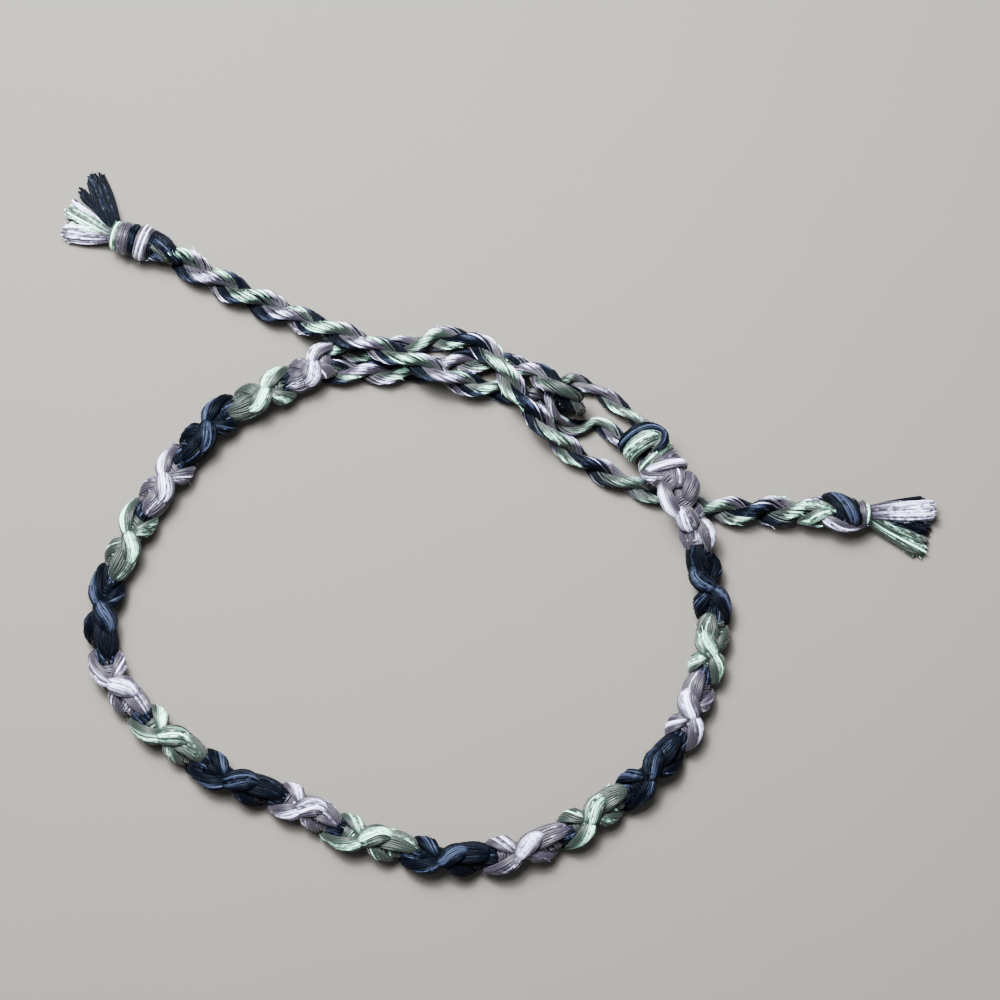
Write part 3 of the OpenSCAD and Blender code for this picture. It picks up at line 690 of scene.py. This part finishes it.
def laid(skein, cord, sizes, count, phase, dyes):
    """One strand of a laid cord: threads that keep their side of the strand as it winds."""
    thread = LAID_THREAD * sizes.thread_radius / MM
    twist = sizes.back_twist
    stations = []
    for s in even(cord.start, cord.end, LAID_STEP):
        middle, side, up = cord.line.at(s)
        a = math.radians(phase - 360 * s / cord.lay)
        grown = table_at(cord.swell, s)
        centre = middle + grown * cord.offset * (math.cos(a) * side + math.sin(a) * up)
        above = math.degrees(math.atan2(up.z, side.z)) - 90
        turned = 360 * twist * s / cord.lay + (1 + twist) * above
        stations.append((s, middle, centre, side, up, grown, turned, table_at(cord.shade, s)))
    # The core is navy and dark with painted shade.
    core = [centre for _, _, centre, *_ in stations]
    core_r = cord.radius - CORE_INSET * thread
    core_radii = [core_r * grown for *_, grown, _, _ in stations]
    skein.add(core, core_radii, "navy", CORE_TONE, [PAINTED_CORE_LIGHT] * len(core))
    for j in range(count):
        angle = 360 * (j + skein.rng.uniform(*LAID_PLACE)) / count
        seen = (angle - 90 + twist * (phase - 90) + skein.rng.gauss(0, DYE_BLUR)) % 360
        dye = next(name for limit, name in dyes if seen <= limit)
        drift = Wander(skein.rng, sizes.drift / MM)
        sway = Wander(skein.rng, LAID_SWAY)
        inset = skein.rng.uniform(*LAID_DEPTH) * (cord.radius - thread)
        points, painted_light = [], []
        for s, middle, centre, side, up, grown, turned, shaded in stations:
            b = math.radians(angle + sway.at(s * SWAY_RATE) + turned)
            p = centre + (grown * inset + drift.at(s)) * (math.cos(b) * side + math.sin(b) * up)
            p.z = max(p.z, LAID_LEAST_Z)
            points.append(p)
            # Painted shade: darker the nearer the thread lies to the cord's middle, times the painted shade
            # of that stretch of the tail.
            far = (p - middle).length / (grown * (cord.offset + cord.radius))
            painted_light.append(shaded * max(0, min(1, PAINTED_LIGHT_GAIN * far - PAINTED_LIGHT_FROM)))
        thick = thread * skein.rng.uniform(*LAID_THICK)
        skein.add(points, thick, dye, skein.own_tone(LAID_PALE), painted_light)


class Shade:
    """A shader socket that can be added, taken away and multiplied in an expression."""

    def __init__(self, tree, socket=None):
        self.tree = tree
        self.socket = socket

    def node(self, kind, settings=None, inputs=None, output=0):
        made = self.tree.nodes.new(kind)
        for name, value in (settings or {}).items():
            setattr(made, name, value)
        for name, value in (inputs or {}).items():
            if isinstance(value, Shade):
                self.tree.links.new(value.socket, made.inputs[name])
            else:
                made.inputs[name].default_value = value
        return Shade(self.tree, made.outputs[output])

    def beside(self, output):
        """Another output of the same node."""
        return Shade(self.tree, self.socket.node.outputs[output])

    def noise(self, vector, scale, detail=2.0):
        return self.node("ShaderNodeTexNoise", inputs={"Vector": vector, "Scale": scale, "Detail": detail})

    def maths(self, operation, first, second):
        return self.node("ShaderNodeMath", {"operation": operation}, {0: first, 1: second})

    def __add__(self, other):
        return self.maths("ADD", self, other)

    def __sub__(self, other):
        return self.maths("SUBTRACT", self, other)

    def __rsub__(self, other):
        return self.maths("SUBTRACT", other, self)

    def __mul__(self, other):
        return self.maths("MULTIPLY", self, other)

    def __rmul__(self, other):
        return self.maths("MULTIPLY", other, self)

    def held(self):
        """The value kept between 0 and 1."""
        return self.node("ShaderNodeMath", {"operation": "ADD", "use_clamp": True}, {0: self, 1: 0.0})

    def mixed(self, a, b):
        """Colour a where this value is 0, colour b where it is 1."""
        return self.node(
            "ShaderNodeMix", {"data_type": "RGBA"}, {MIX_FACTOR: self, MIX_A: a, MIX_B: b}, MIX_RESULT
        )

    def plug(self, shader, name):
        self.tree.links.new(self.socket, shader.inputs[name])


def new_material(name):
    """A material, its main shader and a first Shade to make nodes with."""
    material = bpy.data.materials.new(name)
    material.use_nodes = True
    tree = material.node_tree
    shader = next(n for n in tree.nodes if n.type == "BSDF_PRINCIPLED")
    return material, shader, Shade(tree)


def floss_material(dye, deep, pale):
    """Mercerised cotton: each thread has its own tone, streaks along it with painted highlights, and painted
    shade in a recess.
    """
    _, shader, start = new_material(dye + "_thread")
    place = start.node("ShaderNodeTexCoord", output="Object")
    tone = start.node("ShaderNodeAttribute", {"attribute_name": "tone"}, output="Vector")
    own = start.node("ShaderNodeSeparateXYZ", inputs={0: tone})
    painted_lit, along = own.beside(1), own.beside(2)
    ply = start.node("ShaderNodeCombineXYZ", inputs={0: along * STREAKS_ALONG, 1: own * STREAKS_APART})
    # Streaks along each thread, which paint short highlights into its colour and also bump it.
    glint_streak = start.noise(ply, 1.0)
    mottle = start.noise(place, MOTTLE_SCALE)
    fibre = start.noise(place, FIBRE_SCALE)
    mixture = own * OWN_SHARE + glint_streak * STREAK_SHARE + mottle * MOTTLE_SHARE
    # Painted shade: the light in a thread's colour falls to a little where it lies in a recess.
    light = ((mixture - LIGHT_FROM) * LIGHT_GAIN).held() * (painted_lit * (1 - PAINTED_RECESS_LIGHT) + PAINTED_RECESS_LIGHT)
    shown = ((light - SHOWN_FROM) * SHOWN_GAIN).held()
    (shown * shown * shown).held().mixed(deep, pale).plug(shader, "Base Color")
    (ROUGH_IN_SHADE - ROUGH_FALL * light).held().plug(shader, "Roughness")
    start.node(
        "ShaderNodeBump",
        inputs={"Height": glint_streak + fibre * FIBRE_BUMP, "Strength": BUMP_STRENGTH, "Distance": BUMP_DISTANCE},
    ).plug(shader, "Normal")
    for name, value in (SHINE_NAVY if dye == "navy" else SHINE).items():
        shader.inputs[name].default_value = value


def floor_material(colour):
    """The floor's colour with a faint, broad unevenness."""
    material, shader, start = new_material("pale_floor")
    grain = start.noise(start.node("ShaderNodeTexCoord", output="Object"), FLOOR_GRAIN, 4.0)
    pale = (*[min(1.0, c * FLOOR_PALER) for c in colour[:3]], 1.0)
    grain.mixed((*colour[:3], 1.0), pale).plug(shader, "Base Color")
    shader.inputs["Roughness"].default_value = FLOOR_ROUGHNESS
    return material


def node_slot(node):
    return next(row["material_slot"] for row in frame["record"]["subparts"] if row["node"] == node)


class ThreadSettings(PropertyGroup):
    thread_radius: FloatProperty(
        name="Thread radius", description="Radius of one thread of floss", default=0.000115, unit="LENGTH"
    )
    strand_threads: IntProperty(
        name="Strand threads", description="Threads round a tail's strand", default=30
    )
    ply_threads: IntProperty(name="Ply threads", description="Threads round a ply of the loop", default=18)
    drift: FloatProperty(
        name="Drift", description="How far a thread strays from its place", default=0.00003, unit="LENGTH"
    )
    back_twist: FloatProperty(
        name="Back twist", description="Turns of a strand's threads against the cord, for each turn of it",
        default=1.0,
    )
    fuzz: IntProperty(name="Fuzz", description="Stray fibres on one run of a colour", default=90)


class DyeSettings(PropertyGroup):
    lilac_deep: FloatVectorProperty(
        name="Deep lilac", description="Darkest lilac thread", subtype="COLOR", size=4,
        default=(0.014, 0.011, 0.020, 1),
    )
    lilac_pale: FloatVectorProperty(
        name="Pale lilac", description="Palest lilac thread", subtype="COLOR", size=4,
        default=(0.66, 0.66, 1.0, 1),
    )
    green_deep: FloatVectorProperty(
        name="Deep green", description="Darkest green thread", subtype="COLOR", size=4,
        default=(0.005, 0.010, 0.008, 1),
    )
    green_pale: FloatVectorProperty(
        name="Pale green", description="Palest green thread", subtype="COLOR", size=4,
        default=(0.44, 0.92, 0.70, 1),
    )
    navy_deep: FloatVectorProperty(
        name="Deep navy", description="Darkest navy thread", subtype="COLOR", size=4,
        default=(0.0003, 0.0006, 0.0020, 1),
    )
    navy_pale: FloatVectorProperty(
        name="Pale navy", description="Palest navy thread", subtype="COLOR", size=4,
        default=(0.022, 0.030, 0.056, 1),
    )


class StageSettings(PropertyGroup):
    floor_colour: FloatVectorProperty(
        name="Floor", description="Colour of the plain floor", subtype="COLOR", size=4,
        default=(0.083, 0.077, 0.069, 1),
    )
    view_height: FloatProperty(
        name="View height", description="Angle of the camera above the floor",
        default=math.radians(86), subtype="ANGLE",
    )
    view_width: FloatProperty(
        name="View width", description="Width that the camera takes in at the bracelet",
        default=0.1, unit="LENGTH",
    )
    lens: FloatProperty(name="Lens", description="Focal length of the camera in mm", default=100)
    key_power: FloatProperty(name="Key light", description="Power of the main light in watts", default=4.6)
    spark_power: FloatProperty(
        name="Spark light", description="Power of the small light in watts", default=2.6
    )
    fill_power: FloatProperty(name="Fill light", description="Power of the soft light in watts", default=0.06)


class BRACELET_OT_stage(Operator):
    """Camera at the photograph's angle, soft lights and a plain pale floor"""

    bl_idname = "bracelet.stage"
    bl_label = "Stage"

    def execute(self, context):
        made = context.scene.bracelet_stage
        bpy.ops.object.select_all(action="DESELECT")
        target = Vector(VIEW_TARGET) * MM
        back = Vector((0, -math.cos(made.view_height), math.sin(made.view_height)))
        bpy.ops.object.camera_add(location=target + back * made.view_width * made.lens / SENSOR_WIDTH)
        camera = context.object
        camera.name = "camera"
        camera.rotation_euler = (-back).to_track_quat("-Z", "Y").to_euler()
        camera.data.lens = made.lens
        camera.data.clip_start = NEAREST_SEEN
        context.scene.camera = camera
        bpy.ops.mesh.primitive_plane_add(size=FLOOR_SIZE, location=(0, 0, CAD_BOX[0][2]))
        floor = context.object
        floor.name = "floor"
        floor.data.materials.append(floor_material(made.floor_colour))
        for place, size, power in (
            (KEY_PLACE, KEY_SIZE, made.key_power),
            (KEY_PLACE, SPARK_SIZE, made.spark_power),
            (FILL_PLACE, FILL_SIZE, made.fill_power),
        ):
            self.light(target, place, size, power)
        world = bpy.data.worlds.new("room")
        world.use_nodes = True
        background = world.node_tree.nodes["Background"]
        background.inputs["Color"].default_value = ROOM_COLOUR
        background.inputs["Strength"].default_value = ROOM_STRENGTH
        context.scene.world = world
        return {"FINISHED"}

    def light(self, target, place, size, power):
        bpy.ops.object.light_add(type="AREA", location=target + Vector(place))
        lamp = bpy.context.object
        lamp.data.size = size
        lamp.data.energy = power
        lamp.rotation_euler = (-Vector(place)).to_track_quat("-Z", "Y").to_euler()


class BRACELET_OT_floss(Operator):
    """The three dyed flosses as materials"""

    bl_idname = "bracelet.floss"
    bl_label = "Floss"

    def execute(self, context):
        dyes = context.scene.bracelet_dyes
        for dye in DYES:
            floss_material(dye, getattr(dyes, dye + "_deep"), getattr(dyes, dye + "_pale"))
        return {"FINISHED"}


class BRACELET_OT_band(Operator):
    """The knotted band, one piece for each run of a colour"""

    bl_idname = "bracelet.band"
    bl_label = "Knotted band"

    def execute(self, context):
        sizes = context.scene.bracelet_threads
        line = Line(BAND_ROUTE, level=True)
        start = 0.0
        for i, (dye, end) in enumerate(COLOURS):
            node = f"{dye}_knots_{i // len(DYES) + 1}"
            skein = Skein(node + "_floss")
            body = Body(line, start, end - start, FLARE)
            last = i == len(COLOURS) - 1
            if i:
                self.joint(skein, body, sizes)
            # The core takes the darkest tone of its dye and full painted shade, which shows in the gaps
            # between bundles.
            places = even(max(0.0, start), min(line.total, end), BAND_CORE_STEP)
            core = [line.at(s)[0] for s in places]
            skein.add(core, [BAND_CORE_R] * len(core), dye, 0, [0] * len(core))
            for *wrap, pale in LAST_WRAPS if last else BAND_WRAPS:
                skein.bundle(body, dye, pale, round_rows(*wrap), sizes, WRAP_STEPS)
            for pale, rows in LAST_BUNDLES if last else BUNDLES:
                skein.bundle(body, dye, pale, rows, sizes)
            skein.fuzz(sizes.fuzz)
            skein.make(node, node_slot(node))
            start = end
        return {"FINISHED"}

    def joint(self, skein, body, sizes):
        """Covered navy threads, which show where two colours meet."""
        reach = JOINT_REACH / body.length
        for angle in JOINT_ANGLES:
            lean = skein.rng.uniform(*JOINT_LEAN)
            points = []
            for k in range(JOINT_POINTS):
                t = 2 * k / (JOINT_POINTS - 1) - 1
                points.append(body.at(t * reach, angle + lean * t, JOINT_R - JOINT_DIP * t * t)[0])
            skein.add(points, sizes.thread_radius / MM, "navy", skein.own_tone(JOINT_PALE))


class BRACELET_OT_tails(Operator):
    """The two tails, each of two laid strands of mixed threads"""

    bl_idname = "bracelet.tails"
    bl_label = "Tails"

    def execute(self, context):
        sizes = context.scene.bracelet_threads
        for side, route, phase, swell, knot_len, shade, dyes in (
            ("left", LEFT_ROUTE, LEFT_PHASE, LEFT_SWELL, LEFT_KNOT_LEN, LEFT_SHADE, LEFT_DYES),
            ("right", RIGHT_ROUTE, RIGHT_PHASE, RIGHT_SWELL, RIGHT_KNOT_LEN, RIGHT_SHADE, RIGHT_DYES),
        ):
            line = Line(route)
            cord = Cord(
                line, -TAIL_IN_BAND, line.total - knot_len + TAIL_IN_KNOT,
                TAIL_LAY, STRAND_OFFSET, STRAND_FULLNESS * STRAND_R, swell, shade,
            )
            for k in (1, 2):
                node = f"{side}_tail_strand_{k}"
                skein = Skein(node + "_floss")
                laid(skein, cord, sizes, sizes.strand_threads, phase + 180 * (k - 1), dyes[k - 1])
                skein.fuzz(TAIL_FUZZ * sizes.fuzz)
                skein.make(node, node_slot(node))
        return {"FINISHED"}


class BRACELET_OT_start_loop(Operator):
    """The start loop of two laid plies"""

    bl_idname = "bracelet.start_loop"
    bl_label = "Start loop"

    def execute(self, context):
        sizes = context.scene.bracelet_threads
        line = Line(LOOP_ROUTE)
        cord = Cord(
            line, -LOOP_IN_KNOT, line.total + LOOP_IN_KNOT, LOOP_LAY, PLY_OFFSET, PLY_FULLNESS * PLY_R
        )
        for k in (1, 2):
            node = f"start_loop_ply_{k}"
            skein = Skein(node + "_floss")
            laid(skein, cord, sizes, sizes.ply_threads, 180 * k, LOOP_DYES[k - 1])
            skein.fuzz(sizes.fuzz)
            skein.make(node, node_slot(node))
        return {"FINISHED"}


class BRACELET_OT_knots(Operator):
    """The start knot and the knot near the end of each tail"""

    bl_idname = "bracelet.knots"
    bl_label = "Knots"

    def execute(self, context):
        sizes = context.scene.bracelet_threads
        band = Line(BAND_ROUTE, level=True)
        left, right = Line(LEFT_ROUTE, level=True), Line(RIGHT_ROUTE, level=True)
        wide = START_KNOT_HALF_W / START_KNOT_HALF_H
        start = COLOURS[-1][1]
        self.knot("start_knot", Body(band, start, band.total - start, ((0, wide),)),
                  START_KNOT_WRAPS, START_KNOT_BUNDLES, sizes)
        self.knot("left_end_knot", Body(left, left.total - LEFT_KNOT_LEN, LEFT_KNOT_LEN, LEVEL),
                  LEFT_KNOT_WRAPS, LEFT_KNOT_BUNDLES, sizes)
        self.knot("right_end_knot", Body(right, right.total - RIGHT_KNOT_LEN, RIGHT_KNOT_LEN, LEVEL),
                  RIGHT_KNOT_WRAPS, RIGHT_KNOT_BUNDLES, sizes)
        return {"FINISHED"}

    def knot(self, node, body, wraps, bundles, sizes):
        skein = Skein(node + "_floss")
        # The core is navy in its darkest tone with full painted shade, which shows in the gaps between
        # bundles.
        n = len(KNOT_CORE)
        core = [body.at(k / (n - 1), 0, 0)[0] for k in range(n)]
        skein.add(core, list(KNOT_CORE), "navy", 0, [0] * n)
        for *wrap, pale, dye in wraps:
            skein.bundle(body, dye, pale, round_rows(*wrap), sizes, KNOT_WRAP_STEPS)
        for dye, pale, rows in bundles:
            skein.bundle(body, dye, pale, rows, sizes, KNOT_BUNDLE_STEPS)
        skein.fuzz(KNOT_FUZZ * sizes.fuzz)
        skein.make(node, node_slot(node))


class BRACELET_OT_tassels(Operator):
    """The cut threads beyond each end knot"""

    bl_idname = "bracelet.tassels"
    bl_label = "Tassels"

    def execute(self, context):
        sizes = context.scene.bracelet_threads
        for node, route, locks in (
            ("left_tassel", LEFT_ROUTE, LEFT_LOCKS),
            ("right_tassel", RIGHT_ROUTE, RIGHT_LOCKS),
        ):
            line = Line(route, level=True)
            skein = Skein(node + "_floss")
            root = line.at(line.total - TASSEL_IN_KNOT)[0]
            for lock in locks:
                self.lock(skein, root, *lock, sizes.thread_radius / MM)
            skein.fuzz(KNOT_FUZZ * sizes.fuzz)
            skein.make(node, node_slot(node))
        return {"FINISHED"}

    def lock(self, skein, root, tip, half_w, half_h, dye, pale, count, thread):
        """Threads that lie side by side from the knot and spread out to the lock's tip."""
        rng = skein.rng
        tip = Vector(tip)
        thick = LOCK_ROOT + LOCK_ROOT_MORE * count / LOCK_FULL
        way = (tip - root).normalized()
        side = UP.cross(way).normalized()
        for j in range(count):
            turn = LOCK_TURN * j
            out = math.sqrt((j + 0.5) / count)
            across, above = out * math.cos(turn), out * math.sin(turn)
            reach = rng.uniform(*LOCK_REACH) * (1 - LOCK_ROUNDING * across * across)
            bow = rng.uniform(*LOCK_BOW)
            stray = Wander(rng, LOCK_STRAY)
            points, painted_light = [], []
            for k in range(LOCK_POINTS):
                t = k / (LOCK_POINTS - 1)
                arch = math.sin(HALF_TURN * t)
                wide = blend(thick, half_w, math.sin(QUARTER_TURN * t))
                tall = blend(thick, half_h, t)
                p = root.lerp(tip, t * reach)
                p = p + side * (across * wide + bow * arch + stray.at(LOCK_SPAN * t))
                p.z = max(p.z + above * tall - LOCK_SAG * arch, thread + LOCK_LAYER * (j % LOCK_LAYERS))
                points.append(p)
                # Painted shade near the knot and on the lower threads, painted light on the top ones.
                painted_light.append(min(1, PAINTED_LOCK_LIGHT + PAINTED_LOCK_RISE * k) * (PAINTED_LOCK_SIDE + PAINTED_LOCK_TOP * above))
            skein.add(points, LOCK_THREAD * thread, dye, skein.own_tone(pale), painted_light)


class BRACELET_PT_panel(Panel):
    bl_idname = "BRACELET_PT_panel"
    bl_label = "Bracelet"
    bl_space_type = "VIEW_3D"
    bl_region_type = "UI"
    bl_category = "Bracelet"

    def draw(self, context):
        scene = context.scene
        for group in (scene.bracelet_threads, scene.bracelet_dyes, scene.bracelet_stage):
            for name in group.__annotations__:
                self.layout.prop(group, name)
        for operator in OPERATORS:
            self.layout.operator(operator.bl_idname)


OPERATORS = (
    BRACELET_OT_stage, BRACELET_OT_floss, BRACELET_OT_band, BRACELET_OT_tails,
    BRACELET_OT_start_loop, BRACELET_OT_knots, BRACELET_OT_tassels,
)
CLASSES = (ThreadSettings, DyeSettings, StageSettings, *OPERATORS, BRACELET_PT_panel)


def register():
    for cls in CLASSES:
        bpy.utils.register_class(cls)
    bpy.types.Scene.bracelet_threads = PointerProperty(type=ThreadSettings)
    bpy.types.Scene.bracelet_dyes = PointerProperty(type=DyeSettings)
    bpy.types.Scene.bracelet_stage = PointerProperty(type=StageSettings)


def unregister():
    del bpy.types.Scene.bracelet_stage
    del bpy.types.Scene.bracelet_dyes
    del bpy.types.Scene.bracelet_threads
    for cls in reversed(CLASSES):
        bpy.utils.unregister_class(cls)


def main():
    register()
    bpy.ops.bracelet.stage()
    bpy.ops.bracelet.floss()
    bpy.ops.bracelet.band()
    bpy.ops.bracelet.tails()
    bpy.ops.bracelet.start_loop()
    bpy.ops.bracelet.knots()
    bpy.ops.bracelet.tassels()


if __name__ == "__main__":
    main()
